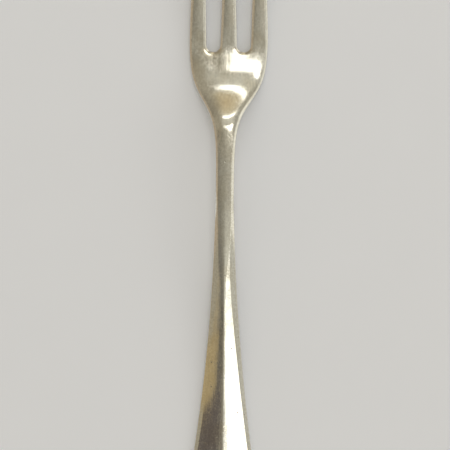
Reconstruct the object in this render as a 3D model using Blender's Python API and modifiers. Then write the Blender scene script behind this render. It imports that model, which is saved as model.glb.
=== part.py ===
"""Three-tined cocktail fork in silver, lying on its back with the front up.

Lengths are in metres. +Y runs from the end of the handle to the tine tips, +X to the right
seen from the front, and +Z out of the front. The origin lies under the middle of the fork, on
the surface that carries it.

The fork is one forging. Here it is divided at its natural sections, from the tines to the end
of the handle, and neighbours meet face to face on a plane square to Y. One set of curves gives
the outline, the front and the back of every section, so they stay joined when a size changes.
"""

import bisect
import math

import bmesh
import bpy

MM = 0.001

# Lengths along the fork, from the tine tips to the end of the handle
TINE_LENGTH = 29.0 * MM          # tips to the round ends of the slots
BOWL_LENGTH = 14.5 * MM          # slot ends to the start of the neck
NECK_LENGTH = 12.0 * MM
STEM_LENGTH = 24.0 * MM
HANDLE_LENGTH = 39.5 * MM        # up to where the outline starts to round off
HANDLE_END_LENGTH = 22.0 * MM

# Outline seen from the front
HEAD_WIDTH = 17.4 * MM           # across the roots of the outer tines
TIP_SPREAD = 15.0 * MM           # across the tips of the outer tines
CENTRE_TINE_WIDTH = 3.64 * MM    # at the root
TINE_TIP_WIDTH = 2.0 * MM        # of every tine, where its point starts
TINE_POINT_LENGTH = 2.4 * MM
SLOT_WIDTH = 3.1 * MM            # at the round end
SHOULDER_DISTANCE = 10.8 * MM    # slot ends to where the head narrows fastest
SHOULDER_EASE = 5.6 * MM         # how gently the shoulders turn into the neck
STEM_WIDTH = 3.94 * MM           # at the waist, where neck and stem meet
HANDLE_WIDTH = 13.3 * MM         # where handle and handle end meet
TINE_TAPER_POWER = 1.3           # above 1 the outer tines curve in towards their tips
FLARE_POWER = 2                  # above 1 the handle flares faster towards its end

# Side view: heights of the back over the surface, and where they lie
TIP_RISE = 5.0 * MM
ARCH_RISE = 5.0 * MM
LOW_POINT_DISTANCE = 0.55 * MM   # slot ends to the lowest point of the bowl
CLIMB_LENGTH = 18.2 * MM         # from that low point up to the arch of the stem
TINE_RISE_POWER = 1.6            # above 1 the tines curve up towards their tips
CLIMB_SKEW = 1.25                # above 1 the bowl stays low for longer before it climbs

# Thicknesses on the centre line
TIP_THICKNESS = 0.8 * MM
POINT_THICKNESS = 1.3 * MM       # where a tine's point starts
ROOT_THICKNESS = 1.9 * MM
BOWL_THICKNESS = 2.0 * MM
NECK_THICKNESS = 2.75 * MM       # where bowl and neck meet
STEM_THICKNESS = 3.0 * MM
HANDLE_THICKNESS = 2.4 * MM
END_THICKNESS = 2.1 * MM

# How far front and back fall away from the centre line towards the edges
SHOULDER_FRONT_CROWN = 0.50 * MM
NECK_FRONT_CROWN = 0.42 * MM
NECK_FADE = 7.5 * MM             # start of the neck to where its crown is as low as the stem's
STEM_FRONT_CROWN = 0.08 * MM
HANDLE_FRONT_CROWN = 0.20 * MM
BOWL_BACK_CROWN = 0.35 * MM
STEM_BACK_CROWN = 0.35 * MM
RIDGE_SLOPE = 0.10               # fall of the handle's two facets, per unit of width
RIDGE_RUN = 10.0 * MM            # length on the stem over which the ridge grows

# Bevels along the edges: width seen from the front, and depth
TINE_BEVEL = 0.55 * MM
TINE_BEVEL_DEPTH = 0.32 * MM
STEM_BEVEL = 0.50 * MM
STEM_BEVEL_DEPTH = 0.34 * MM
WIDEST_BEVEL = 1.24 * MM         # where stem and handle meet
WIDEST_BEVEL_DEPTH = 0.56 * MM
HANDLE_BEVEL = 0.92 * MM
HANDLE_BEVEL_DEPTH = 0.41 * MM
END_BEVEL = 0.76 * MM
END_BEVEL_DEPTH = 0.34 * MM
BACK_BEVEL = 0.45 * MM
STEM_BACK_BEVEL = 0.90 * MM

# Share of the stem's length that keeps the narrow bevel, and share of the handle's length over which
# the widest bevel narrows
STEM_BEVEL_SHARE = 0.25
HANDLE_BEVEL_SHARE = 0.49

# A bevel never takes more than these shares of the wall that it is cut from
MOST_BEVEL_WIDTH = 0.50
MOST_BEVEL_DEPTH = 0.35

# An ellipse cut off at this share of its length leaves each tine tip blunt
POINT_SHARE = 0.94

# The handle's end is drawn by spokes that swing round to meet this far short of the tip
END_FOCUS = 6.0 * MM

# Steps that the curves are read in
TINE_STEPS = 12
POINT_STEPS = 4
BOWL_STEPS = 14
NECK_STEPS = 9
STEM_STEPS = 8
HANDLE_STEPS = 10
END_STEPS = 12
FRONT_STEPS = 4
BACK_STEPS = 3
SLOT_STEPS = 40

# The slot cutters reach this far past front and back
CUTTER_REACH = 0.6 * MM

# Points that a mirrored half shares with its twin are this near
MERGE_DISTANCE = 0.001 * MM

# Edges that turn by more than this stay sharp in the shading
SHARP_ANGLE = math.radians(20)

SILVER_COLOUR = (0.72, 0.69, 0.61, 1.0)
SATIN_ROUGHNESS = 0.28
POLISHED_ROUGHNESS = 0.18

# Places of the sections along Y, with the origin at half the length
TOTAL_LENGTH = (TINE_LENGTH + BOWL_LENGTH + NECK_LENGTH + STEM_LENGTH + HANDLE_LENGTH
                + HANDLE_END_LENGTH)
TIP_Y = TOTAL_LENGTH / 2
POINT_Y = TIP_Y - TINE_POINT_LENGTH
SLOT_END_Y = TIP_Y - TINE_LENGTH
ROOT_Y = SLOT_END_Y + SLOT_WIDTH / 2
LOW_Y = SLOT_END_Y - LOW_POINT_DISTANCE
SHOULDER_Y = SLOT_END_Y - SHOULDER_DISTANCE
NECK_Y = SLOT_END_Y - BOWL_LENGTH
STEM_Y = NECK_Y - NECK_LENGTH
HANDLE_Y = STEM_Y - STEM_LENGTH
END_START_Y = HANDLE_Y - HANDLE_LENGTH
STEM_BEVEL_Y = STEM_Y - STEM_LENGTH * STEM_BEVEL_SHARE
HANDLE_BEVEL_Y = HANDLE_Y - HANDLE_LENGTH * HANDLE_BEVEL_SHARE

SLOT_X = (CENTRE_TINE_WIDTH + SLOT_WIDTH) / 2


def smooth_through(*stations):
    """A smooth function of y through the (y, value) stations that never overshoots them."""
    ordered = sorted(stations)
    places = [place for place, _ in ordered]
    values = [value for _, value in ordered]
    runs = [after - before for before, after in zip(places, places[1:])]
    rates = [(after - before) / run for before, after, run in zip(values, values[1:], runs)]
    slopes = [0.0]
    for before, after in zip(rates, rates[1:]):
        turns = before * after <= 0
        slopes.append(0.0 if turns else 2 * before * after / (before + after))
    slopes.append(0.0)

    def value_at(y):
        if y <= places[0]:
            return values[0]
        if y >= places[-1]:
            return values[-1]
        i = bisect.bisect_right(places, y) - 1
        t = (y - places[i]) / runs[i]
        rise = t * t * (3 - 2 * t)
        leave = t * (1 - t) ** 2 * runs[i]
        arrive = t * t * (t - 1) * runs[i]
        return values[i] + (values[i + 1] - values[i]) * rise + slopes[i] * leave + slopes[i + 1] * arrive

    return value_at


def soft_step(t):
    """0 to 1 as t runs from 0 to 1, with no kink at either end."""
    t = min(max(t, 0.0), 1.0)
    return t ** 3 * (t * (6 * t - 15) + 10)


def mix(start, end, share):
    return start + (end - start) * share


thickness = smooth_through(
    (TIP_Y, TIP_THICKNESS), (POINT_Y, POINT_THICKNESS), (ROOT_Y, ROOT_THICKNESS),
    (LOW_Y, BOWL_THICKNESS), (NECK_Y, NECK_THICKNESS), (STEM_Y, STEM_THICKNESS),
    (HANDLE_Y, HANDLE_THICKNESS), (END_START_Y, END_THICKNESS))
front_crown = smooth_through(
    (ROOT_Y, 0.0), (SHOULDER_Y, SHOULDER_FRONT_CROWN), (NECK_Y, NECK_FRONT_CROWN),
    (NECK_Y - NECK_FADE, STEM_FRONT_CROWN), (STEM_Y, STEM_FRONT_CROWN),
    (HANDLE_Y, HANDLE_FRONT_CROWN))
back_crown = smooth_through(
    (TIP_Y, 0.0), (ROOT_Y, BOWL_BACK_CROWN), (NECK_Y, STEM_BACK_CROWN),
    (STEM_Y, STEM_BACK_CROWN), (END_START_Y, 0.0))
ridge_slope = smooth_through((HANDLE_Y + RIDGE_RUN, 0.0), (HANDLE_Y, RIDGE_SLOPE))
bevel_width = smooth_through(
    (ROOT_Y, TINE_BEVEL), (STEM_Y, STEM_BEVEL), (STEM_BEVEL_Y, STEM_BEVEL),
    (HANDLE_Y, WIDEST_BEVEL), (HANDLE_BEVEL_Y, HANDLE_BEVEL), (END_START_Y, END_BEVEL))
bevel_depth = smooth_through(
    (ROOT_Y, TINE_BEVEL_DEPTH), (STEM_Y, STEM_BEVEL_DEPTH), (HANDLE_Y, WIDEST_BEVEL_DEPTH),
    (HANDLE_BEVEL_Y, HANDLE_BEVEL_DEPTH), (END_START_Y, END_BEVEL_DEPTH))
back_bevel = smooth_through(
    (NECK_Y, BACK_BEVEL), (STEM_Y, STEM_BACK_BEVEL), (HANDLE_Y, BACK_BEVEL))


def along_tine(y):
    """0 at the root of the tines, 1 at their tips."""
    return (y - ROOT_Y) / (TIP_Y - ROOT_Y)


def half_width(y):
    """Half the fork's whole width at y."""
    shoulder = (1 + math.tanh((y - SHOULDER_Y) / SHOULDER_EASE)) / 2
    width = mix(STEM_WIDTH, HEAD_WIDTH, shoulder)
    if y > ROOT_Y:
        width -= (HEAD_WIDTH - TIP_SPREAD) * along_tine(y) ** TINE_TAPER_POWER
    if y < STEM_Y:
        flare = (STEM_Y - y) / (STEM_Y - END_START_Y)
        width += (HANDLE_WIDTH - STEM_WIDTH) * flare ** FLARE_POWER
    if y < END_START_Y:
        round_off = min((END_START_Y - y) / HANDLE_END_LENGTH, 1.0)
        width *= math.sqrt(1 - round_off ** 2)
    return width / 2


def back_line(y):
    """Height of the back on the centre line: tines up, bowl down, stem arched, end flat."""
    tine = max(y - LOW_Y, 0.0) / (TIP_Y - LOW_Y)
    climb = soft_step(max((LOW_Y - y) / CLIMB_LENGTH, 0.0) ** CLIMB_SKEW)
    fall = soft_step((NECK_Y - y) / (NECK_Y - END_START_Y))
    return TIP_RISE * tine ** TINE_RISE_POWER + ARCH_RISE * (climb - fall)


def off_centre(x, y):
    """How far out x lies, from 0 on the centre line to 1 at the outline without its rounded end."""
    full = half_width(max(y, END_START_Y))
    return abs(x) / full


def front(x, y):
    fall = front_crown(y) * off_centre(x, y) ** 2 + ridge_slope(y) * abs(x)
    return back_line(y) + thickness(y) - fall


def back(x, y):
    return back_line(y) + back_crown(y) * off_centre(x, y) ** 2


def half_section(spine, edge):
    """Points from the front over spine, round the bevelled edge, to the back under spine.

    spine and edge are places seen from the front, as (x, y).
    """
    span = math.dist(spine, edge)
    edge_x, edge_y = edge
    wall = front(edge_x, edge_y) - back(edge_x, edge_y)
    front_inset = min(bevel_width(edge_y), span * MOST_BEVEL_WIDTH) / span
    back_inset = min(back_bevel(edge_y), span * MOST_BEVEL_WIDTH) / span
    front_depth = min(bevel_depth(edge_y), wall * MOST_BEVEL_DEPTH)
    back_depth = min(back_bevel(edge_y), wall * MOST_BEVEL_DEPTH)

    def place(share):
        return mix(spine[0], edge_x, share), mix(spine[1], edge_y, share)

    points = []
    for step in range(FRONT_STEPS + 1):
        x, y = place((1 - front_inset) * step / FRONT_STEPS)
        points.append((x, y, front(x, y)))
    arris_height = points[-1][2]
    points.append((edge_x, edge_y, arris_height - front_depth))
    points.append((edge_x, edge_y, back(edge_x, edge_y) + back_depth))
    for step in range(BACK_STEPS, -1, -1):
        x, y = place((1 - back_inset) * step / BACK_STEPS)
        points.append((x, y, back(x, y)))
    return points


def even_places(start, end, steps):
    return [mix(start, end, step / steps) for step in range(steps + 1)]


def tine_places():
    """Places along a tine, closer together round its point."""
    quarter = math.asin(POINT_SHARE)
    point = [POINT_Y + (TIP_Y - POINT_Y) * math.sin(quarter * step / POINT_STEPS) / POINT_SHARE
             for step in range(1, POINT_STEPS + 1)]
    return even_places(ROOT_Y, POINT_Y, TINE_STEPS) + point


def pointed(y):
    """Share of its width that a tine keeps at y."""
    along = max(y - POINT_Y, 0.0) / (TIP_Y - POINT_Y)
    return math.sqrt(1 - (along * POINT_SHARE) ** 2)


def outer_tine_edges(y):
    """The slot side and the outer side of the right tine, without its point."""
    slot_side = mix(SLOT_X + SLOT_WIDTH / 2, TIP_SPREAD / 2 - TINE_TIP_WIDTH, along_tine(y))
    return slot_side, half_width(y)


def centre_tine_half_width(y):
    return mix(CENTRE_TINE_WIDTH, TINE_TIP_WIDTH, along_tine(y)) / 2 * pointed(y)


def loft(rows, wrap, cap_rows):
    """A skin over rows of points, with a flat cap on each row named in cap_rows.

    wrap closes every row into a ring. Without it the rows stay open, for a mirrored half.
    """
    skin = bmesh.new()
    grid = [[skin.verts.new(point) for point in row] for row in rows]
    for row, following in zip(grid, grid[1:]):
        pairs = list(zip(row, following))
        if wrap:
            pairs.append(pairs[0])
        for (near, far), (next_near, next_far) in zip(pairs, pairs[1:]):
            skin.faces.new((near, far, next_far, next_near))
    for index in cap_rows:
        skin.faces.new(grid[index])
    bmesh.ops.recalc_face_normals(skin, faces=skin.faces)
    return skin


def silver(name, roughness):
    material = bpy.data.materials.new(name)
    material.use_nodes = True
    shader = material.node_tree.nodes["Principled BSDF"]
    shader.inputs["Base Color"].default_value = SILVER_COLOUR
    shader.inputs["Metallic"].default_value = 1.0
    shader.inputs["Roughness"].default_value = roughness
    return material


def add_part(name, skin, roughness):
    """Turns a skin into a named, silvered object on the fork."""
    mesh = bpy.data.meshes.new(name)
    skin.to_mesh(mesh)
    skin.free()
    mesh.shade_smooth()
    mesh.set_sharp_from_angle(angle=SHARP_ANGLE)
    mesh.materials.append(silver(name + "_silver", roughness))
    part = bpy.data.objects.new(name, mesh)
    part.parent = fork
    fork_parts.objects.link(part)
    return part


def add_mirrored_part(name, rows, cap_rows, roughness):
    """A section that is the same on both sides, from its right half."""
    part = add_part(name, loft(rows, wrap=False, cap_rows=cap_rows), roughness)
    mirror = part.modifiers.new("both_sides", "MIRROR")
    mirror.use_axis = (True, False, False)
    mirror.merge_threshold = MERGE_DISTANCE
    return part


def add_section(name, start, end, steps, roughness):
    """A symmetric section between two planes square to Y."""
    rows = [half_section((0.0, y), (half_width(y), y)) for y in even_places(start, end, steps)]
    return add_mirrored_part(name, rows, (0, -1), roughness)


def add_outer_tine(name, side):
    """The right tine for side 1, the left one for side -1."""
    rings = []
    for y in tine_places():
        slot_side, outer_side = outer_tine_edges(y)
        middle = (slot_side + outer_side) / 2
        reach = (outer_side - slot_side) / 2 * pointed(y)
        spine = (side * middle, y)
        outward = half_section(spine, (side * (middle + reach), y))
        inward = half_section(spine, (side * (middle - reach), y))
        rings.append(outward + inward[-2:0:-1])
    return add_part(name, loft(rings, wrap=True, cap_rows=(0, -1)), SATIN_ROUGHNESS)


def add_centre_tine():
    rows = [half_section((0.0, y), (centre_tine_half_width(y), y)) for y in tine_places()]
    return add_mirrored_part("centre_tine", rows, (0, -1), SATIN_ROUGHNESS)


def add_slot_cutter(name, side):
    """A turned spool, whose flared rims bevel the round end of a slot in front and behind."""
    radius = SLOT_WIDTH / 2
    top = front(SLOT_X, ROOT_Y)
    bottom = back(SLOT_X, ROOT_Y)
    wall = top - bottom
    front_depth = min(TINE_BEVEL_DEPTH, wall * MOST_BEVEL_DEPTH)
    back_depth = min(BACK_BEVEL, wall * MOST_BEVEL_DEPTH)
    front_flare = TINE_BEVEL / front_depth
    back_flare = BACK_BEVEL / back_depth
    upper = radius + (front_depth + CUTTER_REACH) * front_flare
    lower = radius + (back_depth + CUTTER_REACH) * back_flare
    profile = (
        (0.0, top + CUTTER_REACH), (upper, top + CUTTER_REACH), (radius, top - front_depth),
        (radius, bottom + back_depth), (lower, bottom - CUTTER_REACH), (0.0, bottom - CUTTER_REACH))
    mesh = bpy.data.meshes.new(name)
    edges = [(index, index + 1) for index in range(len(profile) - 1)]
    mesh.from_pydata([(x, 0.0, z) for x, z in profile], edges, [])
    cutter = bpy.data.objects.new(name, mesh)
    cutter.location = (side * SLOT_X, ROOT_Y, 0.0)
    cutter.hide_render = True
    cutter.display_type = "WIRE"
    turn = cutter.modifiers.new("turned", "SCREW")
    turn.steps = SLOT_STEPS
    turn.render_steps = SLOT_STEPS
    turn.use_merge_vertices = True
    turn.merge_threshold = MERGE_DISTANCE
    slot_cutters.objects.link(cutter)
    return cutter


def add_bowl():
    """The palm of the fork, with the round ends of both slots cut into it."""
    bowl = add_section("bowl", ROOT_Y, NECK_Y, BOWL_STEPS, SATIN_ROUGHNESS)
    for name, side in (("left_slot", -1), ("right_slot", 1)):
        slot = bowl.modifiers.new(name, "BOOLEAN")
        slot.operation = "DIFFERENCE"
        slot.object = add_slot_cutter(name + "_cutter", side)


def add_handle_end():
    """The rounded end, on spokes that swing from square across to straight along the fork."""
    rows = []
    for step in range(END_STEPS + 1):
        turned = math.pi / 2 * step / END_STEPS
        edge_y = END_START_Y - HANDLE_END_LENGTH * math.sin(turned)
        spine_y = END_START_Y - (HANDLE_END_LENGTH - END_FOCUS) * (1 - math.cos(turned))
        edge_x = half_width(edge_y) if step < END_STEPS else 0.0
        rows.append(half_section((0.0, spine_y), (edge_x, edge_y)))
    add_mirrored_part("handle_end", rows, (0,), POLISHED_ROUGHNESS)


for old in list(bpy.data.objects):
    bpy.data.objects.remove(old)

fork_parts = bpy.data.collections.new("cocktail_fork")
slot_cutters = bpy.data.collections.new("slot_cutters")
bpy.context.scene.collection.children.link(fork_parts)
bpy.context.scene.collection.children.link(slot_cutters)
fork = bpy.data.objects.new("fork_frame", None)
fork_parts.objects.link(fork)

add_outer_tine("left_tine", -1)
add_centre_tine()
add_outer_tine("right_tine", 1)
add_bowl()
add_section("neck", NECK_Y, STEM_Y, NECK_STEPS, SATIN_ROUGHNESS)
add_section("stem", STEM_Y, HANDLE_Y, STEM_STEPS, SATIN_ROUGHNESS)
add_section("handle", HANDLE_Y, END_START_Y, HANDLE_STEPS, POLISHED_ROUGHNESS)
add_handle_end()
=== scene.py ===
"""Looks of the cocktail fork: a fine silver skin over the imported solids, the studio and the camera.

Lengths are in metres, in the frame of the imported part: +Y towards the tine tips, +X to the right,
+Z up out of the front. The skin follows the same curves as the solids, with the edges rounded, and
is divided at the same planes, so each piece stands for one node.
"""

import bisect
import math
from collections import namedtuple

import bmesh
import bpy
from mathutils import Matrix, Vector


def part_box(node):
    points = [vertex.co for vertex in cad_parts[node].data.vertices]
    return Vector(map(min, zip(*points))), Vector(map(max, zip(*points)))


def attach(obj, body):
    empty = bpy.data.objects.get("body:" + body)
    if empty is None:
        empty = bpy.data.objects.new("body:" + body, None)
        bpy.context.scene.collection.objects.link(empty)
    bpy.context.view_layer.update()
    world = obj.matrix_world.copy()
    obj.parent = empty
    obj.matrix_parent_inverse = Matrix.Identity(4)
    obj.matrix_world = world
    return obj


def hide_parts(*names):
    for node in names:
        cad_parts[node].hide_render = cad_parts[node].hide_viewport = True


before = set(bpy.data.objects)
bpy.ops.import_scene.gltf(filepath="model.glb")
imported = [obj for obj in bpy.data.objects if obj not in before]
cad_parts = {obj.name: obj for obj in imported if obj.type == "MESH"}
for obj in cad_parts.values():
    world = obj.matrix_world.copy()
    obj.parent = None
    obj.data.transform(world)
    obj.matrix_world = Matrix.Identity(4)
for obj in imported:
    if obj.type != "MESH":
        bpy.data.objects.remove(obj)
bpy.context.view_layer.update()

MM = 0.001

# Section planes along Y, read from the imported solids
TIP_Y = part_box("centre_tine")[1].y
ROOT_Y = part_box("bowl")[1].y
NECK_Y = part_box("neck")[1].y
STEM_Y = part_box("stem")[1].y
HANDLE_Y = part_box("handle")[1].y
END_START_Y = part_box("handle_end")[1].y
END_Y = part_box("handle_end")[0].y

# Outline seen from the front, as in the part
HEAD_WIDTH = 17.4 * MM
TIP_SPREAD = 15.0 * MM
CENTRE_TINE_WIDTH = 3.64 * MM
TINE_TIP_WIDTH = 2.0 * MM
TINE_POINT_LENGTH = 2.4 * MM
SLOT_WIDTH = 3.1 * MM
SHOULDER_DISTANCE = 10.8 * MM
SHOULDER_EASE = 5.6 * MM
STEM_WIDTH = 3.94 * MM
HANDLE_WIDTH = 13.3 * MM
TINE_TAPER_POWER = 1.3
FLARE_POWER = 2

# Side view
TIP_RISE = 5.0 * MM
TINE_RISE_POWER = 1.6
ARCH_RISE = 5.0 * MM
LOW_POINT_DISTANCE = 0.55 * MM
CLIMB_LENGTH = 18.2 * MM
CLIMB_SKEW = 1.25

# Thicknesses on the centre line
TIP_THICKNESS = 0.8 * MM
POINT_THICKNESS = 1.3 * MM
ROOT_THICKNESS = 1.9 * MM
BOWL_THICKNESS = 2.0 * MM
NECK_THICKNESS = 2.75 * MM
STEM_THICKNESS = 3.0 * MM
HANDLE_THICKNESS = 2.4 * MM
END_THICKNESS = 2.1 * MM

# How far front and back fall away towards the edges
SHOULDER_FRONT_CROWN = 0.50 * MM
NECK_FRONT_CROWN = 0.42 * MM
STEM_FRONT_CROWN = 0.08 * MM
NECK_FADE = 7.5 * MM
RIM_ROLL = 0.22 * MM
RIM_ROLL_POWER = 8
RIM_ROLL_RUN = 7.0 * MM
BOWL_BACK_CROWN = 0.35 * MM
STEM_BACK_CROWN = 0.35 * MM
HANDLE_FRONT_CROWN = 0.20 * MM

# The ridge down the middle of the handle, which sharpens away from the stem
RIDGE_SLOPE = 0.10
RIDGE_RUN = 10.0 * MM
RIDGE_SOFTNESS = 0.05 * MM
RIDGE_START_SOFTNESS = 1.0 * MM
RIDGE_SHARPENING = 6.0 * MM

# Each tine is rounded a little by itself, from a short way above its root
TINE_CROWN = 0.06 * MM
TINE_CROWN_RUN = 5.0 * MM

# The front dips towards the round end of each slot
SLOT_DISH = 0.08 * MM
SLOT_DISH_WIDTH = 0.6 * MM
SLOT_DISH_RUN = 1.5 * MM

# Shallow swells of the hand-finished bowl and neck, as places on them, reaches and heights
SWELLS = (
    (Vector((0.3, 39.3)) * MM, Vector((2.4, 3.0)) * MM, 0.07 * MM),
    (Vector((5.0, 37.5)) * MM, Vector((2.0, 2.2)) * MM, 0.03 * MM),
    (Vector((1.1, 26.1)) * MM, Vector((3.5, 2.0)) * MM, 0.16 * MM),
)

# Bevels along the edges: width seen from the front, and depth
TINE_BEVEL = 0.55 * MM
TINE_BEVEL_DEPTH = 0.32 * MM
STEM_BEVEL = 0.50 * MM
STEM_BEVEL_DEPTH = 0.34 * MM
WIDEST_BEVEL = 1.24 * MM         # where stem and handle meet
WIDEST_BEVEL_DEPTH = 0.56 * MM
HANDLE_BEVEL = 0.92 * MM
HANDLE_BEVEL_DEPTH = 0.41 * MM
END_BEVEL = 0.76 * MM
END_BEVEL_DEPTH = 0.34 * MM
BACK_BEVEL = 0.45 * MM
STEM_BACK_BEVEL = 0.90 * MM

# A bevel takes at most these shares of the width that it lies on and of the height of its edge
MOST_BEVEL_WIDTH = 0.50
MOST_BEVEL_DEPTH = 0.35

# Share of the stem's length that keeps the narrow bevel, and share of the handle's length over which
# the widest bevel narrows
STEM_BEVEL_SHARE = 0.25
HANDLE_BEVEL_SHARE = 0.49

# How far the rounding of a bevel's two corners reaches along its sides
TINE_ROUNDING = 0.06 * MM
HANDLE_ROUNDING = 0.05 * MM
MOST_ROUNDING = 0.45

# Spokes draw the round ends, and meet this far short of the tip
END_FOCUS = 6.0 * MM
POINT_FOCUS = 0.9 * MM

# Steps of the skin
CENTRE_STEPS = 8
SLOT_STEPS = 32
OUTER_STEPS = 4
CORNER_STEPS = 4
BOWL_STEPS = 52
BOWL_CROWDING = 1.5
ROW_LENGTH = 0.7 * MM
POINT_STEPS = 14
END_STEPS = 44
MERGE_DISTANCE = 0.001 * MM
SLIVER_DISTANCE = 0.0001 * MM

# A row's last stretch before an edge is this share of an even step
SUPPORT_SHARE = 0.3

# Places that follow from the sizes
POINT_Y = TIP_Y - TINE_POINT_LENGTH
SLOT_END_Y = ROOT_Y - SLOT_WIDTH / 2
LOW_Y = SLOT_END_Y - LOW_POINT_DISTANCE
SHOULDER_Y = SLOT_END_Y - SHOULDER_DISTANCE
SLOT_X = (CENTRE_TINE_WIDTH + SLOT_WIDTH) / 2
HANDLE_END_LENGTH = END_START_Y - END_Y
STEM_BEVEL_Y = STEM_Y - (STEM_Y - HANDLE_Y) * STEM_BEVEL_SHARE
HANDLE_BEVEL_Y = HANDLE_Y - (HANDLE_Y - END_START_Y) * HANDLE_BEVEL_SHARE

PIECES = ("left_tine", "centre_tine", "right_tine", "bowl", "neck", "stem", "handle", "handle_end")

# Wear: the edges are rubbed bright and tarnish stays by the slots, and a warm reflection is painted as
# tarnish in the heel of the bowl
EDGE_WEAR_REACH = 0.35 * MM
SLOT_TARNISH_REACH = 1.1 * MM
# Place and reach of the painted warm reflection in the heel of the bowl
HEEL_REFLECTION_PLACE = Vector((-0.2, 30.2)) * MM
HEEL_REFLECTION_REACH = Vector((2.4, 2.0)) * MM

# Colours of the silver
CLEAN = (0.72, 0.695, 0.60, 1.0)
TARNISHED = (0.68, 0.64, 0.525, 1.0)
# Tarnish film by the slots, which is also the colour of the painted warm reflection in the heel
FILM_AND_HEEL_REFLECTION = (0.67, 0.60, 0.455, 1.0)
RUBBED_BRIGHT = (0.76, 0.74, 0.66, 1.0)
PIT_DIRT = (0.28, 0.24, 0.19, 1.0)
MOTTLE_DARK = 0.92
MOTTLE_LIGHT = 1.04

# Features to a millimetre in the silver's noises, and how far the drawn-out ones are stretched
CLOUD_FINENESS = 0.16
WAVE_FINENESS = 0.22
GRAIN_FINENESS = 2.2
STREAK_FINENESS = 2.6
STREAK_STRETCH = 12.5
HAIRLINE_FINENESS = 4.0
HAIRLINE_STRETCH = 30.0
HAIRLINE_ANGLES = (7.0, -16.0, 38.0, -61.0)
PIT_FINENESS = 0.7

# How many finer layers each noise has
CLOUD_DETAIL = 4.0
WAVE_DETAIL = 1.0
GRAIN_DETAIL = 2.0
STREAK_DETAIL = 3.0
HAIRLINE_DETAIL = 1.0

# The satin is grain for this share, and streaks for the rest
GRAIN_SHARE = 0.6

# Values of a noise between which its effect sets in
TARNISH_CLOUD = (0.42, 0.68)
FILM_AND_REFLECTION_CLOUD = (0.30, 0.60)
RUBBED_GRAIN = (0.40, 0.60)
SATIN_RANGE = (0.35, 0.65)
HAIRLINE_STROKE = (0.67, 0.73)

# A pit's floor and rim, as distances in its cell, and the draws that give a cell a pit or none
PIT_REACH = (0.05, 0.11)
PIT_DRAW = (0.25, 0.35)

# What is left of the film in the hollows and of the painted warm reflection in the heel, and of the
# polish on the edges, where they are weakest
LEAST_FILM_AND_REFLECTION = 0.5
LEAST_RUB = 0.3

# Relief of the silver
WAVE_HEIGHT = 0.02 * MM
STREAK_HEIGHT = 0.0025 * MM
GRAIN_HEIGHT = 0.0015 * MM
HAIRLINE_DEPTH = 0.0006 * MM
PIT_DEPTH = 0.015 * MM

# Roughness: satin on the head, polished by use on the handle
HEAD_ROUGHNESS = 0.14
HANDLE_ROUGHNESS = 0.09
POLISH_START_MM = 25.0
POLISH_END_MM = -5.0
SMOOTHEST_SATIN = 0.8
ROUGHEST_SATIN = 1.2
HAIRLINE_ROUGHNESS = 0.05
EDGE_POLISH = 0.03

# Floor, a hair below the fork
FLOOR_SIZE = 4.0
FLOOR_DROP = 0.01 * MM
FLOOR_SHADE = (0.90, 0.915, 0.95, 1.0)
FLOOR_LIGHT = (0.92, 0.935, 0.97, 1.0)
FLOOR_ROUGHNESS = 0.8
FLOOR_FINENESS = 60.0
FLOOR_DETAIL = 4.0

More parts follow.
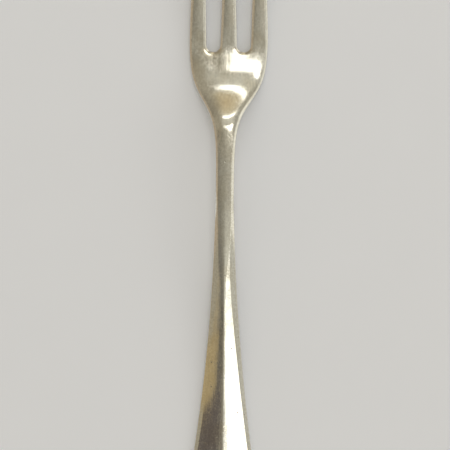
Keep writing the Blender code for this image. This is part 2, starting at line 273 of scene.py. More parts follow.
# The studio round the fork. A lean is how far a direction tilts from straight up, as a slope:
# across is to the right, along is towards the tips. A slanted wall's range along moves by its slant
# for each unit across. Later walls are painted over earlier ones.
Wall = namedtuple("Wall", "across along softness colour slant", defaults=(0.0,))
OPEN = 100.0
CEILING = (0.36, 0.345, 0.30, 1.0)
WARM = (0.51, 0.405, 0.238, 1.0)
PALE = (0.72, 0.715, 0.70, 1.0)
WALLS = (
    # Brighter right of the middle, and beyond the tips
    Wall((-0.05, OPEN), (-OPEN, OPEN), 0.065, (0.52, 0.50, 0.45, 1.0)),
    Wall((-OPEN, OPEN), (0.40, OPEN), 0.30, (0.73, 0.71, 0.64, 1.0)),
    # Browner to the left
    Wall((-OPEN, -0.20), (-OPEN, OPEN), 0.09, (0.42, 0.385, 0.315, 1.0)),
    Wall((-OPEN, -0.62), (1.2, OPEN), 0.20, (0.33, 0.30, 0.245, 1.0)),
    Wall((-OPEN, -2.0), (-OPEN, OPEN), 0.50, (0.52, 0.44, 0.35, 1.0)),
    # To the right, a little duller at first and bright far out
    Wall((0.33, OPEN), (-OPEN, OPEN), 0.12, (0.475, 0.46, 0.415, 1.0)),
    Wall((0.78, OPEN), (-OPEN, 0.50), 0.15, (0.61, 0.60, 0.56, 1.0)),
    Wall((1.75, OPEN), (-OPEN, OPEN), 0.40, (1.03, 1.015, 0.95, 1.0)),
    # Plain pale walls far out on all four sides
    Wall((-OPEN, -6.5), (-OPEN, OPEN), 1.00, PALE),
    Wall((3.6, OPEN), (-OPEN, OPEN), 0.60, PALE),
    Wall((-1.2, 1.2), (-OPEN, -0.90), 0.25, PALE),
    Wall((-OPEN, OPEN), (2.8, OPEN), 0.40, PALE),
    # A warm patch low on the left, and a paler one far beyond the tips
    Wall((-1.70, -0.33), (-0.305, -0.10), 0.03, WARM),
    Wall((-0.39, 0.25), (1.60, 2.7), 0.15, (0.718, 0.638, 0.479, 1.0)),
    # Dark screens left of the middle, the last one cut off at a slant
    Wall((-0.245, -0.14), (-OPEN, 0.07), 0.03, (0.285, 0.268, 0.236, 1.0)),
    Wall((-0.40, -0.20), (-0.40, -0.303), 0.012, (0.235, 0.222, 0.20, 1.0)),
    Wall((-0.355, -0.285), (-0.33, -0.05), 0.012, (0.165, 0.156, 0.143, 1.0)),
    Wall((-0.44, -0.285), (-0.411, -0.134), 0.015, (0.148, 0.128, 0.125, 1.0), slant=-0.63),
    # A bright patch that the rims of the slots catch
    Wall((1.0, 2.2), (1.0, 2.4), 0.25, (1.25, 1.23, 1.15, 1.0)),
    # A soft glow beside and below the right lamp
    Wall((-0.045, 0.14), (-0.42, -0.20), 0.03, (0.62, 0.605, 0.55, 1.0)),
    Wall((0.0, 0.14), (-0.42, -0.295), 0.03, (0.78, 0.765, 0.70, 1.0)),
    Wall((0.14, 0.29), (-0.42, -0.30), 0.04, (0.82, 0.805, 0.75, 1.0)),
)

# Directions lower than this height lean no further, and low ones fade into a pale horizon
LEAST_HEIGHT = 0.05
HORIZON = (0.80, 0.80, 0.79, 1.0)
HORIZON_TOP = 0.20
HORIZON_FULL = 0.08

# Level lamps over the fork, whose reflections are the bright marks on its front: the leans that each
# fills before it is turned, the turn in degrees, and the brightness of its face
Lamp = namedtuple("Lamp", "name shape across along turn radiance")
LAMP_HEIGHT = 1.2
ELLIPSE_FILL = math.pi / 4       # share of its frame that an ellipse fills
LAMPS = (
    Lamp("right_box", "RECTANGLE", (0.15, 0.32), (-0.325, 0.05), 0, 2.0),
    Lamp("window_left", "ELLIPSE", (-0.04, 0.09), (0.12, 0.40), 33, 2.7),
    Lamp("window_low", "ELLIPSE", (-0.085, 0.21), (0.17, 0.285), -23, 2.7),
    Lamp("window_right", "ELLIPSE", (0.095, 0.265), (0.15, 0.52), -19, 2.7),
    Lamp("far_box", "RECTANGLE", (-0.20, 0.0), (1.10, 1.46), 10, 2.4),
    Lamp("far_side_box", "ELLIPSE", (-0.03, 0.24), (1.12, 1.86), -35, 2.2),
)

# Picture: its pixels across, the size of a pixel on the fork, where its middle lies on the fork, and
# how far the camera is tilted to the right and rolled
IMAGE_SIZE = 450
PIXEL = 0.22 * MM
VIEW_CENTRE = Vector((-0.16, 3.4, 2.2)) * MM
VIEW_TILT = math.radians(3.8)
VIEW_ROLL = math.radians(0.87)
LENS = 200.0
SENSOR_WIDTH = 36.0

# Sockets of a mix node when it mixes colours: the share and both colours, and the result
MIX_INPUTS = (0, 6, 7)
MIX_OUTPUT = 2


def smooth_through(*stations):
    """A smooth function of y through the (y, value) stations that never overshoots them."""
    ordered = sorted(stations)
    places = [place for place, _ in ordered]
    values = [value for _, value in ordered]
    runs = [after - before for before, after in zip(places, places[1:])]
    rates = [(after - before) / run for before, after, run in zip(values, values[1:], runs)]
    slopes = [0.0]
    for before, after in zip(rates, rates[1:]):
        turns = before * after <= 0
        slopes.append(0.0 if turns else 2 * before * after / (before + after))
    slopes.append(0.0)

    def value_at(y):
        if y <= places[0]:
            return values[0]
        if y >= places[-1]:
            return values[-1]
        i = bisect.bisect_right(places, y) - 1
        t = (y - places[i]) / runs[i]
        rise = t * t * (3 - 2 * t)
        leave = t * (1 - t) ** 2 * runs[i]
        arrive = t * t * (t - 1) * runs[i]
        bend = slopes[i] * leave + slopes[i + 1] * arrive
        return mix(values[i], values[i + 1], rise) + bend

    return value_at


def soft_step(t):
    """0 to 1 as t runs from 0 to 1, with no kink at either end."""
    t = min(max(t, 0.0), 1.0)
    return t ** 3 * (t * (6 * t - 15) + 10)


def mix(start, end, share):
    return start + (end - start) * share


thickness = smooth_through(
    (TIP_Y, TIP_THICKNESS), (POINT_Y, POINT_THICKNESS), (ROOT_Y, ROOT_THICKNESS),
    (LOW_Y, BOWL_THICKNESS), (NECK_Y, NECK_THICKNESS), (STEM_Y, STEM_THICKNESS),
    (HANDLE_Y, HANDLE_THICKNESS), (END_START_Y, END_THICKNESS))
front_crown = smooth_through(
    (ROOT_Y, 0.0), (SHOULDER_Y, SHOULDER_FRONT_CROWN), (NECK_Y, NECK_FRONT_CROWN),
    (NECK_Y - NECK_FADE, STEM_FRONT_CROWN), (STEM_Y, STEM_FRONT_CROWN), (HANDLE_Y, HANDLE_FRONT_CROWN))
rim_roll = smooth_through(
    (ROOT_Y, 0.0), (ROOT_Y - RIM_ROLL_RUN, RIM_ROLL), (NECK_Y, RIM_ROLL), (STEM_Y, 0.0))
back_crown = smooth_through(
    (TIP_Y, 0.0), (ROOT_Y, BOWL_BACK_CROWN), (NECK_Y, STEM_BACK_CROWN),
    (STEM_Y, STEM_BACK_CROWN), (END_START_Y, 0.0))
tine_crown = smooth_through((ROOT_Y, 0.0), (ROOT_Y + TINE_CROWN_RUN, TINE_CROWN))
ridge_slope = smooth_through((HANDLE_Y + RIDGE_RUN, 0.0), (HANDLE_Y, RIDGE_SLOPE))
ridge_softness = smooth_through(
    (HANDLE_Y + RIDGE_RUN, RIDGE_START_SOFTNESS), (HANDLE_Y - RIDGE_SHARPENING, RIDGE_SOFTNESS))
bevel_width = smooth_through(
    (ROOT_Y, TINE_BEVEL), (STEM_Y, STEM_BEVEL), (STEM_BEVEL_Y, STEM_BEVEL),
    (HANDLE_Y, WIDEST_BEVEL), (HANDLE_BEVEL_Y, HANDLE_BEVEL), (END_START_Y, END_BEVEL))
bevel_depth = smooth_through(
    (ROOT_Y, TINE_BEVEL_DEPTH), (STEM_Y, STEM_BEVEL_DEPTH), (HANDLE_Y, WIDEST_BEVEL_DEPTH),
    (HANDLE_BEVEL_Y, HANDLE_BEVEL_DEPTH), (END_START_Y, END_BEVEL_DEPTH))
back_bevel = smooth_through(
    (NECK_Y, BACK_BEVEL), (STEM_Y, STEM_BACK_BEVEL), (HANDLE_Y, BACK_BEVEL))
rounding = smooth_through((NECK_Y, TINE_ROUNDING), (HANDLE_Y, HANDLE_ROUNDING))


def along_tine(y):
    """0 at the root of the tines, 1 at their tips."""
    return (y - ROOT_Y) / (TIP_Y - ROOT_Y)


def half_width(y):
    """Half the fork's whole width at y."""
    shoulder = (1 + math.tanh((y - SHOULDER_Y) / SHOULDER_EASE)) / 2
    width = mix(STEM_WIDTH, HEAD_WIDTH, shoulder)
    if y > ROOT_Y:
        width -= (HEAD_WIDTH - TIP_SPREAD) * along_tine(y) ** TINE_TAPER_POWER
    if y < STEM_Y:
        flare = (STEM_Y - y) / (STEM_Y - END_START_Y)
        width += (HANDLE_WIDTH - STEM_WIDTH) * flare ** FLARE_POWER
    if y < END_START_Y:
        round_off = min((END_START_Y - y) / HANDLE_END_LENGTH, 1.0)
        width *= math.sqrt(1 - round_off ** 2)
    return width / 2


def back_line(y):
    """Height of the back on the centre line: tines up, bowl down, stem arched, end flat."""
    tine = max(y - LOW_Y, 0.0) / (TIP_Y - LOW_Y)
    climb = soft_step(max((LOW_Y - y) / CLIMB_LENGTH, 0.0) ** CLIMB_SKEW)
    fall = soft_step((NECK_Y - y) / (NECK_Y - END_START_Y))
    return TIP_RISE * tine ** TINE_RISE_POWER + ARCH_RISE * (climb - fall)


def outer_tine_edges(y):
    """The slot side and the outer side of the right tine, without its point."""
    slot_side = mix(SLOT_X + SLOT_WIDTH / 2, TIP_SPREAD / 2 - TINE_TIP_WIDTH, along_tine(y))
    return slot_side, half_width(y)


def outer_tine_axis(y):
    """Where the middle of the right tine lies, and half its width."""
    slot_side, outer_side = outer_tine_edges(y)
    return (slot_side + outer_side) / 2, (outer_side - slot_side) / 2


def centre_tine_axis(y):
    """Where the middle of the centre tine lies, and half its width."""
    return 0.0, mix(CENTRE_TINE_WIDTH, TINE_TIP_WIDTH, along_tine(y)) / 2


def off_centre(x, y):
    """How far out x lies, from 0 on the centre line to 1 at the outline without its rounded end."""
    return abs(x) / half_width(max(y, END_START_Y))


def nearest_tine_axis(x, y):
    """Where the middle of the tine nearest to x lies on the right half, and half its width."""
    axis = centre_tine_axis if abs(x) < SLOT_X else outer_tine_axis
    return axis(y)


def off_tine(x, y):
    """How far out x lies on its own tine, from 0 on the tine's axis to 1 at its edges."""
    middle, reach = nearest_tine_axis(x, max(y, ROOT_Y))
    return min(abs(abs(x) - middle) / reach, 1.0)


def from_slot(x, y):
    """Distance in plan to the round end of the nearest slot."""
    return (Vector((abs(x), y)) - Vector((SLOT_X, ROOT_Y))).length - SLOT_WIDTH / 2


def bump_at(x, y, place, reach):
    """A smooth hump over the plan, 1 at its place and fading out over its reach."""
    return math.exp(-((x - place.x) / reach.x) ** 2 - ((y - place.y) / reach.y) ** 2)


def hand_finish(x, y):
    """How far the worked front of bowl and neck stands over or under its plain curve."""
    near_slot = math.exp(-(from_slot(x, y) / SLOT_DISH_WIDTH) ** 2)
    dish = SLOT_DISH * near_slot * soft_step((ROOT_Y - y) / SLOT_DISH_RUN)
    swell = sum(height * bump_at(x, y, place, reach) for place, reach, height in SWELLS)
    return swell - dish


def front(x, y):
    """Height of the front."""
    ridge = math.hypot(x, ridge_softness(y)) - ridge_softness(y)
    off = off_centre(x, y)
    fall = front_crown(y) * off ** 2 + rim_roll(y) * off ** RIM_ROLL_POWER + ridge_slope(y) * ridge
    fall += tine_crown(y) * off_tine(x, y) ** 2
    return back_line(y) + thickness(y) - fall + hand_finish(x, y)


def back(x, y):
    """Height of the back."""
    return back_line(y) + back_crown(y) * off_centre(x, y) ** 2


def edge_wear(x, y):
    """1 on the fork's edges, fading out towards the middle of its faces."""
    if y > ROOT_Y:
        middle, reach = nearest_tine_axis(x, y)
        to_edge = min(reach - abs(abs(x) - middle), TIP_Y - y)
    else:
        to_edge = min(half_width(y) - abs(x), from_slot(x, y))
    return math.exp(-(max(to_edge, 0.0) / EDGE_WEAR_REACH) ** 2)


def tarnish_and_heel_reflection(x, y):
    """1 by the ends of the slots, where tarnish stays in hollows that a polishing cloth misses, and on a
    painted warm reflection in the heel of the bowl; 0 on the open faces.
    """
    by_slot = math.exp(-(from_slot(x, y) / SLOT_TARNISH_REACH) ** 2)
    # The heel's hump is a painted warm reflection, not tarnish
    return max(by_slot * soft_step((ROOT_Y - y) / SLOT_DISH_RUN), bump_at(x, y, HEEL_REFLECTION_PLACE, HEEL_REFLECTION_REACH))


def plan(x, y):
    return Vector((x, y, 0.0))


def on_front(place):
    return Vector((place.x, place.y, front(place.x, place.y)))


def on_back(place):
    return Vector((place.x, place.y, back(place.x, place.y)))


def rounded_corner(before, corner, after, reach):
    """Points along a curve that cuts a corner off, from one of its sides to the other."""
    into = (before - corner).normalized() * min(reach, (before - corner).length * MOST_ROUNDING)
    out = (after - corner).normalized() * min(reach, (after - corner).length * MOST_ROUNDING)
    points = []
    for step in range(CORNER_STEPS + 1):
        t = step / CORNER_STEPS
        points.append(corner + into * (1 - t) ** 2 + out * t ** 2)
    return points


def insets(edge, span):
    """Widths of the front and back bevels at an edge, and how far their rounding reaches."""
    most = span * MOST_BEVEL_WIDTH
    front_inset = min(bevel_width(edge.y), most)
    back_inset = min(back_bevel(edge.y), most)
    reach = min(rounding(edge.y), (span - most) * MOST_ROUNDING)
    return front_inset, back_inset, reach


def edge_strip(edge, inward, span):
    """Points from the front, over the rounded bevels and the wall of an edge, to the back."""
    front_inset, back_inset, reach = insets(edge, span)
    wall = front(edge.x, edge.y) - back(edge.x, edge.y)
    front_depth = min(bevel_depth(edge.y), wall * MOST_BEVEL_DEPTH)
    back_depth = min(back_bevel(edge.y), wall * MOST_BEVEL_DEPTH)
    start = on_front(edge + inward * (front_inset + reach))
    arris = on_front(edge + inward * front_inset)
    shoulder = Vector((edge.x, edge.y, arris.z - front_depth))
    heel = on_back(edge) + Vector((0, 0, back_depth))
    back_arris = on_back(edge + inward * back_inset)
    end = on_back(edge + inward * (back_inset + reach))
    corners = (start, arris, shoulder, heel, back_arris, end)
    strip = [start]
    for before, corner, after in zip(corners, corners[1:], corners[2:]):
        strip += rounded_corner(before, corner, after, reach)
    strip.append(end)
    return strip


def even_shares(steps):
    """Shares from 0 to 1, with a short last step that keeps the shading flat up to the edge."""
    usual = 1 / (steps - 1 + SUPPORT_SHARE)
    return [step * usual for step in range(steps)] + [1.0]


def half_section(spine, edge, front_shares, back_shares):
    """Points from the front over spine, round the edge, to the back under spine."""
    span = (edge - spine).length
    inward = (spine - edge) / span
    front_inset, back_inset, reach = insets(edge, span)
    front_span = span - front_inset - reach
    back_span = span - back_inset - reach
    points = [on_front(spine - inward * (front_span * share)) for share in front_shares[:-1]]
    points += edge_strip(edge, inward, span)
    points += [on_back(spine - inward * (back_span * share)) for share in reversed(back_shares[:-1])]
    return points


def rows_between(start, end):
    """Places along Y, about a row apart."""
    steps = max(round(abs(end - start) / ROW_LENGTH), 1)
    return [mix(start, end, step / steps) for step in range(steps + 1)]


def tine_rows(axis, side, shares):
    """Half-sections of one side of a tine, from its root round to its point."""
    rows = []
    for y in rows_between(ROOT_Y, POINT_Y):
        middle, reach = axis(y)
        rows.append(half_section(plan(middle, y), plan(middle + side * reach, y), shares, shares))
    for step in range(1, POINT_STEPS + 1):
        turned = math.pi / 2 * step / POINT_STEPS
        edge_y = POINT_Y + TINE_POINT_LENGTH * math.sin(turned)
        spine_y = POINT_Y + (TINE_POINT_LENGTH - POINT_FOCUS) * (1 - math.cos(turned))
        middle, reach = axis(edge_y)
        edge_x = middle + side * reach * math.cos(turned)
        spine = plan(axis(spine_y)[0], spine_y)
        rows.append(half_section(spine, plan(edge_x, edge_y), shares, shares))
    return rows


def front_inset_at(y):
    return bevel_width(y) + rounding(y)


def back_inset_at(y):
    return back_bevel(y) + rounding(y)


def root_line(inset):
    """Where a patch of the bowl ends at the tines, from the centre line to the outer edge.

    It runs across the centre tine's root, round the slot's end and across the outer tine's root.
    """
    shares = even_shares(OUTER_STEPS)
    radius = SLOT_WIDTH / 2 + inset
    line = [plan((SLOT_X - radius) * share, ROOT_Y) for share in even_shares(CENTRE_STEPS)]
    for step in range(1, SLOT_STEPS):
        angle = math.pi * (1 + step / SLOT_STEPS)
        line.append(plan(SLOT_X + radius * math.cos(angle), ROOT_Y + radius * math.sin(angle)))
    middle, _ = outer_tine_axis(ROOT_Y)
    slot_side = SLOT_X + radius
    outer_side = half_width(ROOT_Y) - inset
    line += [plan(mix(middle, slot_side, share), ROOT_Y) for share in reversed(shares)]
    line += [plan(mix(middle, outer_side, share), ROOT_Y) for share in shares[1:]]
    return line


def bowl_places(end_y):
    """Places along the bowl from the neck up to end_y, closer together towards the slots."""
    left = [1 - step / BOWL_STEPS for step in range(BOWL_STEPS + 1)]
    return [mix(end_y, NECK_Y, share ** BOWL_CROWDING) for share in left]


def patch_shares(line, inset):
    """Shares of the half width at which the columns of a bowl's patch run down to the neck."""
    return [end.x / (half_width(end.y) - inset(end.y)) for end in line]


def bowl_patch(surface, inset, line):
    """Rows of points over one face of the bowl, from the neck up to the root line."""
    columns = []
    for end, share in zip(line, patch_shares(line, inset)):
        places = bowl_places(end.y)
        columns.append([surface(plan(share * (half_width(y) - inset(y)), y)) for y in places])
    return list(zip(*columns))


class Skin:
    """The fork's surface, gathered from patches whose faces know their piece."""

    def __init__(self):
        self.mesh = bmesh.new()
        self.piece = self.mesh.faces.layers.int.new("piece")

    def add(self, rows, right, left):
        """Adds a patch on the right half and its mirror image on the left."""
        for side, name in ((1, right), (-1, left)):
            grid = [[self.mesh.verts.new((side * p.x, p.y, p.z)) for p in row] for row in rows]
            for row, following in zip(grid, grid[1:]):
                pairs = list(zip(row, following))
                for (near, far), (next_near, next_far) in zip(pairs, pairs[1:]):
                    face = self.mesh.faces.new((near, far, next_far, next_near))
                    face[self.piece] = PIECES.index(name)
                    face.smooth = True

    def close(self):
        """Joins the patches and turns every face outwards."""
        bmesh.ops.remove_doubles(self.mesh, verts=self.mesh.verts, dist=MERGE_DISTANCE)
        bmesh.ops.dissolve_degenerate(self.mesh, edges=self.mesh.edges, dist=SLIVER_DISTANCE)
        bmesh.ops.recalc_face_normals(self.mesh, faces=self.mesh.faces)
        self.mesh.normal_update()

    def mark_wear_and_reflection(self):
        """Notes at each point how worn and how tarnished the silver is there, and where a warm
        reflection is painted in the heel.
        """
        for name, amount in (("edge_wear", edge_wear), ("tarnish_and_heel_reflection", tarnish_and_heel_reflection)):
            layer = self.mesh.verts.layers.float.new(name)
            for vert in self.mesh.verts:
                vert[layer] = amount(vert.co.x, vert.co.y)


def handle_end_rows(front_shares, back_shares):
    """Half-sections that fan round the handle's end."""
    rows = []
    for step in range(END_STEPS + 1):
        turned = math.pi / 2 * step / END_STEPS
        edge_y = END_START_Y - HANDLE_END_LENGTH * math.sin(turned)
        spine_y = END_START_Y - (HANDLE_END_LENGTH - END_FOCUS) * (1 - math.cos(turned))
        edge_x = half_width(edge_y) if step < END_STEPS else 0.0
        rows.append(half_section(plan(0, spine_y), plan(edge_x, edge_y), front_shares, back_shares))
    return rows


def slot_end_rows():
    """Edge strips round the end of a slot, from the centre tine to the outer tine."""
    rows = []
    for step in range(SLOT_STEPS + 1):
        angle = math.pi * (1 + step / SLOT_STEPS)
        outward = plan(math.cos(angle), math.sin(angle))
        edge = plan(SLOT_X, ROOT_Y) + outward * (SLOT_WIDTH / 2)
        rows.append(edge_strip(edge, outward, CENTRE_TINE_WIDTH / 2))
    return rows


def build_skin():
    """The skin of the whole fork, closed, with its wear and its painted heel reflection noted."""
    skin = Skin()
    front_line = root_line(front_inset_at(ROOT_Y))
    back_line_ends = root_line(back_inset_at(ROOT_Y))
    front_shares = patch_shares(front_line, front_inset_at)
    back_shares = patch_shares(back_line_ends, back_inset_at)

    skin.add(tine_rows(centre_tine_axis, 1, even_shares(CENTRE_STEPS)), "centre_tine", "centre_tine")
    for side in (1, -1):
        skin.add(tine_rows(outer_tine_axis, side, even_shares(OUTER_STEPS)), "right_tine", "left_tine")

    rim = [edge_strip(plan(half_width(y), y), plan(-1, 0), half_width(y)) for y in bowl_places(ROOT_Y)]
    skin.add(bowl_patch(on_front, front_inset_at, front_line), "bowl", "bowl")
    skin.add(bowl_patch(on_back, back_inset_at, back_line_ends), "bowl", "bowl")
    skin.add(rim, "bowl", "bowl")
    skin.add(slot_end_rows(), "bowl", "bowl")

    for name, start, end in (
            ("neck", NECK_Y, STEM_Y), ("stem", STEM_Y, HANDLE_Y), ("handle", HANDLE_Y, END_START_Y)):
        rows = [half_section(plan(0, y), plan(half_width(y), y), front_shares, back_shares)
                for y in rows_between(start, end)]
        skin.add(rows, name, name)
    skin.add(handle_end_rows(front_shares, back_shares), "handle_end", "handle_end")
    skin.close()
    skin.mark_wear_and_reflection()
    return skin


def add_piece(skin, name, material):
    """One piece of the skin, closed at its section planes and shaded as part of the whole."""
    index = PIECES.index(name)
    part = skin.mesh.copy()
    normal = part.verts.layers.float_vector.new("whole_normal")
    for vert in part.verts:
        vert[normal] = vert.normal
    marks = part.faces.layers.int["piece"]
    others = [face for face in part.faces if face[marks] != index]
    bmesh.ops.delete(part, geom=others, context="FACES")
    open_edges = [edge for edge in part.edges if edge.is_boundary]
    bmesh.ops.holes_fill(part, edges=open_edges)
    normals = [vert[normal].copy() for vert in part.verts]
    mesh = bpy.data.meshes.new(name + "_silver")
    part.to_mesh(mesh)
    part.free()
    mesh.attributes.remove(mesh.attributes["whole_normal"])
    mesh.attributes.remove(mesh.attributes["piece"])
    mesh.normals_split_custom_set_from_vertices(normals)
    mesh.materials.append(material)
    piece = bpy.data.objects.new(name + "_silver", mesh)
    bpy.context.scene.collection.objects.link(piece)
    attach(piece, "root")
    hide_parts(name)


def connect(tree, socket, value):
    """Links an input to another node's output, or sets it to a plain value."""
    if isinstance(value, bpy.types.NodeSocket):
        tree.links.new(value, socket)
    else:
        socket.default_value = value


def node(tree, kind, settings=None, **inputs):
    """Adds a node, sets its properties, and sets or links its inputs."""
    made = tree.nodes.new(kind)
    for name, value in (settings or {}).items():
        setattr(made, name, value)
    for name, value in inputs.items():
        connect(tree, made.inputs[name.replace("_", " ")], value)
    return made


def calculate(tree, operation, *values):
    """A math node's result."""
    made = node(tree, "ShaderNodeMath", {"operation": operation})
    for socket, value in zip(made.inputs, values):
        connect(tree, socket, value)
    return made.outputs[0]


def ramp(tree, value, low, high, start=0.0, end=1.0):
    """start where value is at most low, end where it is at least high, and smooth between."""
    made = node(tree, "ShaderNodeMapRange", {"interpolation_type": "SMOOTHSTEP"}, Value=value,
                From_Min=low, From_Max=high, To_Min=start, To_Max=end)
    return made.outputs["Result"]


def blend(tree, share, first, second):
    """The first colour where share is 0, the second where it is 1, and a mix between."""
    made = node(tree, "ShaderNodeMix", {"data_type": "RGBA"})
    for index, value in zip(MIX_INPUTS, (share, first, second)):
        connect(tree, made.inputs[index], value)
    return made.outputs[MIX_OUTPUT]


def noise(tree, place, fineness, detail):
    """Smooth noise round 0.5, with the given number of features to a unit of place."""
    return node(tree, "ShaderNodeTexNoise", Vector=place, Scale=fineness, Detail=detail).outputs[0]


def drawn_out(tree, place, degrees, stretch):
    """Places in which a noise is drawn out along the fork, turned by some degrees."""
    rotation = (0, 0, math.radians(degrees))
    turned = node(tree, "ShaderNodeMapping", Vector=place, Rotation=rotation).outputs[0]
    return node(tree, "ShaderNodeMapping", Vector=turned, Scale=(1, 1 / stretch, 1)).outputs[0]


def hairlines(tree, place):
    """1 on thin scratches that lie at several angles, 0 between them."""
    lines = 0.0
    for degrees in HAIRLINE_ANGLES:
        drawn = drawn_out(tree, place, degrees, HAIRLINE_STRETCH)
        strokes = noise(tree, drawn, HAIRLINE_FINENESS, HAIRLINE_DETAIL)
        lines = calculate(tree, "MAXIMUM", lines, ramp(tree, strokes, *HAIRLINE_STROKE))
    return lines


def pits(tree, place):
    """1 in small pits scattered over the metal, 0 between them."""
    cells = node(tree, "ShaderNodeTexVoronoi", Vector=place, Scale=PIT_FINENESS)
    inside = ramp(tree, cells.outputs["Distance"], *PIT_REACH, 1.0, 0.0)
    drawn = node(tree, "ShaderNodeSeparateColor", Color=cells.outputs["Color"]).outputs["Red"]
    return calculate(tree, "MULTIPLY", inside, ramp(tree, drawn, *PIT_DRAW, 1.0, 0.0))


def relief(tree, height, distance, normal=None, sunk=False):
    """A bump of the given height, on top of the bumps in normal."""
    made = node(tree, "ShaderNodeBump", {"invert": sunk}, Height=height, Distance=distance)
    if normal is not None:
        connect(tree, made.inputs["Normal"], normal)
    return made.outputs[0]


def new_material(name):
    """A material with its node tree and its shader."""
    material = bpy.data.materials.new(name)
    material.use_nodes = True
    return material, material.node_tree, material.node_tree.nodes["Principled BSDF"]


Patterns = namedtuple("Patterns", "along cloud wave grain streak satin lines pitted worn hollow")


def noted(tree, name):
    """An amount that is noted at each point of the skin."""
    return node(tree, "ShaderNodeAttribute", {"attribute_name": name}).outputs["Fac"]


def silver_patterns(tree):
    """The noises and amounts from which the silver's colour, roughness and relief are made."""
    object_place = node(tree, "ShaderNodeTexCoord").outputs["Object"]
    in_millimetres = (1 / MM, 1 / MM, 1 / MM)
    place = node(tree, "ShaderNodeMapping", Vector=object_place, Scale=in_millimetres).outputs[0]
    cloud = noise(tree, place, CLOUD_FINENESS, CLOUD_DETAIL)
    grain = noise(tree, place, GRAIN_FINENESS, GRAIN_DETAIL)
    streak = noise(tree, drawn_out(tree, place, 0.0, STREAK_STRETCH), STREAK_FINENESS, STREAK_DETAIL)
    streak_part = calculate(tree, "MULTIPLY", streak, 1 - GRAIN_SHARE)
    rubbed = ramp(tree, grain, *RUBBED_GRAIN, LEAST_RUB, 1.0)
    # Breaks up both the tarnish film by the slots and the painted warm reflection in the heel
    film_and_reflection_patches = ramp(tree, cloud, *FILM_AND_REFLECTION_CLOUD, LEAST_FILM_AND_REFLECTION, 1.0)
    return Patterns(
        along=node(tree, "ShaderNodeSeparateXYZ", Vector=place).outputs["Y"],
        cloud=cloud,
        wave=noise(tree, place, WAVE_FINENESS, WAVE_DETAIL),
        grain=grain,
        streak=streak,
        satin=calculate(tree, "MULTIPLY_ADD", grain, GRAIN_SHARE, streak_part),
        lines=hairlines(tree, place),
        pitted=pits(tree, place),
        worn=calculate(tree, "MULTIPLY", noted(tree, "edge_wear"), rubbed),
        hollow=calculate(tree, "MULTIPLY", noted(tree, "tarnish_and_heel_reflection"), film_and_reflection_patches))


def silver_colour(tree, patterns):
    """Clean silver and clouds of tarnish, film in the hollows and a painted warm reflection in the heel,
    bright edges and dirt in the pits.
    """
    colour = blend(tree, ramp(tree, patterns.cloud, *TARNISH_CLOUD), CLEAN, TARNISHED)
    # Tarnish film by the slots, and a painted warm reflection in the heel of the bowl
    colour = blend(tree, patterns.hollow, colour, FILM_AND_HEEL_REFLECTION)
    colour = blend(tree, patterns.worn, colour, RUBBED_BRIGHT)
    colour = blend(tree, patterns.pitted, colour, PIT_DIRT)
    mottle = ramp(tree, patterns.satin, *SATIN_RANGE, MOTTLE_DARK, MOTTLE_LIGHT)
    mottled = node(tree, "ShaderNodeVectorMath", {"operation": "SCALE"}, Vector=colour, Scale=mottle)
    return mottled.outputs[0]


def silver_roughness(tree, patterns):
    """Duller on the head, in spots of the satin and on hairlines, and polished on the edges."""
    polish = ramp(tree, patterns.along, POLISH_END_MM, POLISH_START_MM, HANDLE_ROUGHNESS, HEAD_ROUGHNESS)
    satin = ramp(tree, patterns.satin, *SATIN_RANGE, SMOOTHEST_SATIN, ROUGHEST_SATIN)
    rough = calculate(tree, "MULTIPLY", polish, satin)
    rough = calculate(tree, "MULTIPLY_ADD", patterns.lines, HAIRLINE_ROUGHNESS, rough)
    return calculate(tree, "MULTIPLY_ADD", patterns.worn, -EDGE_POLISH, rough)


def silver_relief(tree, patterns):
    """Waves, streaks and grain that stand out, and hairlines and pits that are sunk."""
    normal = relief(tree, patterns.wave, WAVE_HEIGHT)
    normal = relief(tree, patterns.streak, STREAK_HEIGHT, normal)
    normal = relief(tree, patterns.grain, GRAIN_HEIGHT, normal)
    normal = relief(tree, patterns.lines, HAIRLINE_DEPTH, normal, sunk=True)
    return relief(tree, patterns.pitted, PIT_DEPTH, normal, sunk=True)


def silver_material():
    """Worn silver: satin grain, streaks, hairlines and pits, tarnish in the hollows, a painted warm
    reflection in the heel, bright edges.
    """
    material, tree, shader = new_material("worn_silver_and_reflection")
    shader.inputs["Metallic"].default_value = 1.0
    patterns = silver_patterns(tree)
    connect(tree, shader.inputs["Base Color"], silver_colour(tree, patterns))
    connect(tree, shader.inputs["Roughness"], silver_roughness(tree, patterns))
    connect(tree, shader.inputs["Normal"], silver_relief(tree, patterns))
    return material


def floor_material():
    """Matt pale board, faintly clouded."""
    material, tree, shader = new_material("pale_floor")
    shader.inputs["Roughness"].default_value = FLOOR_ROUGHNESS
    place = node(tree, "ShaderNodeTexCoord").outputs["Object"]
    colour = blend(tree, noise(tree, place, FLOOR_FINENESS, FLOOR_DETAIL), FLOOR_SHADE, FLOOR_LIGHT)
    connect(tree, shader.inputs["Base Color"], colour)
    return material


def add_floor():
    bpy.ops.mesh.primitive_plane_add(size=FLOOR_SIZE, location=(0, 0, -FLOOR_DROP))
    floor = bpy.context.object
    floor.name = "floor"
    floor.data.materials.append(floor_material())


def inside_wall(tree, lean_across, lean_along, wall):
    """1 where a direction's leans lie in both of a wall's ranges, 0 outside, soft between."""
    inside = 1.0
    slanted = calculate(tree, "MULTIPLY_ADD", lean_across, -wall.slant, lean_along)
    for lean, (low, high) in ((lean_across, wall.across), (slanted, wall.along)):
        if low > -OPEN:
            above = ramp(tree, lean, low - wall.softness, low + wall.softness)
            inside = calculate(tree, "MULTIPLY", inside, above)
        if high < OPEN:
            below = ramp(tree, lean, high - wall.softness, high + wall.softness, 1.0, 0.0)
            inside = calculate(tree, "MULTIPLY", inside, below)
    return inside


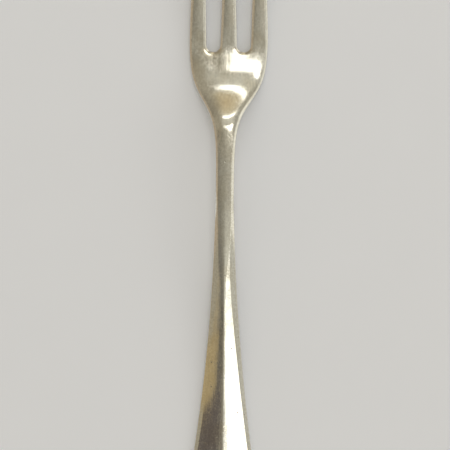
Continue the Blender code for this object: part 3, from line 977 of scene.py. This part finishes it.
def light_world():
    """Paints the studio's ceiling, walls and pale horizon round the fork."""
    world = bpy.data.worlds.new("studio")
    bpy.context.scene.world = world
    world.use_nodes = True
    tree = world.node_tree
    direction = node(tree, "ShaderNodeTexCoord").outputs["Generated"]
    parts = node(tree, "ShaderNodeSeparateXYZ", Vector=direction).outputs
    height = calculate(tree, "MAXIMUM", parts["Z"], LEAST_HEIGHT)
    lean_across = calculate(tree, "DIVIDE", parts["X"], height)
    lean_along = calculate(tree, "DIVIDE", parts["Y"], height)
    studio = CEILING
    for wall in WALLS:
        studio = blend(tree, inside_wall(tree, lean_across, lean_along, wall), studio, wall.colour)
    studio = blend(tree, ramp(tree, parts["Z"], HORIZON_FULL, HORIZON_TOP, 1.0, 0.0), studio, HORIZON)
    connect(tree, tree.nodes["Background"].inputs["Color"], studio)


def add_lamp(lamp):
    """A level soft box over the fork that fills the lamp's leans from straight up."""
    light = bpy.data.lights.new(lamp.name, "AREA")
    light.shape = lamp.shape
    light.size = (lamp.across[1] - lamp.across[0]) * LAMP_HEIGHT
    light.size_y = (lamp.along[1] - lamp.along[0]) * LAMP_HEIGHT
    area = light.size * light.size_y
    if lamp.shape == "ELLIPSE":
        area *= ELLIPSE_FILL
    light.energy = lamp.radiance * math.pi * area
    box = bpy.data.objects.new(lamp.name, light)
    box.location = Vector((sum(lamp.across) / 2, sum(lamp.along) / 2, 1.0)) * LAMP_HEIGHT
    box.rotation_euler.z = math.radians(lamp.turn)
    box.visible_camera = False
    bpy.context.scene.collection.objects.link(box)


def add_camera():
    camera = bpy.data.cameras.new("camera")
    camera.lens = LENS
    camera.sensor_width = SENSOR_WIDTH
    view = bpy.data.objects.new("camera", camera)
    distance = IMAGE_SIZE * PIXEL * LENS / SENSOR_WIDTH
    view.rotation_euler = (0, VIEW_TILT, VIEW_ROLL)
    view.location = VIEW_CENTRE + view.rotation_euler.to_matrix() @ Vector((0, 0, distance))
    bpy.context.scene.collection.objects.link(view)
    bpy.context.scene.camera = view


silver = silver_material()
skin = build_skin()
for piece_name in PIECES:
    add_piece(skin, piece_name, silver)
skin.mesh.free()

add_floor()
light_world()
for lamp in LAMPS:
    add_lamp(lamp)
add_camera()
bpy.context.scene.view_settings.view_transform = "Standard"
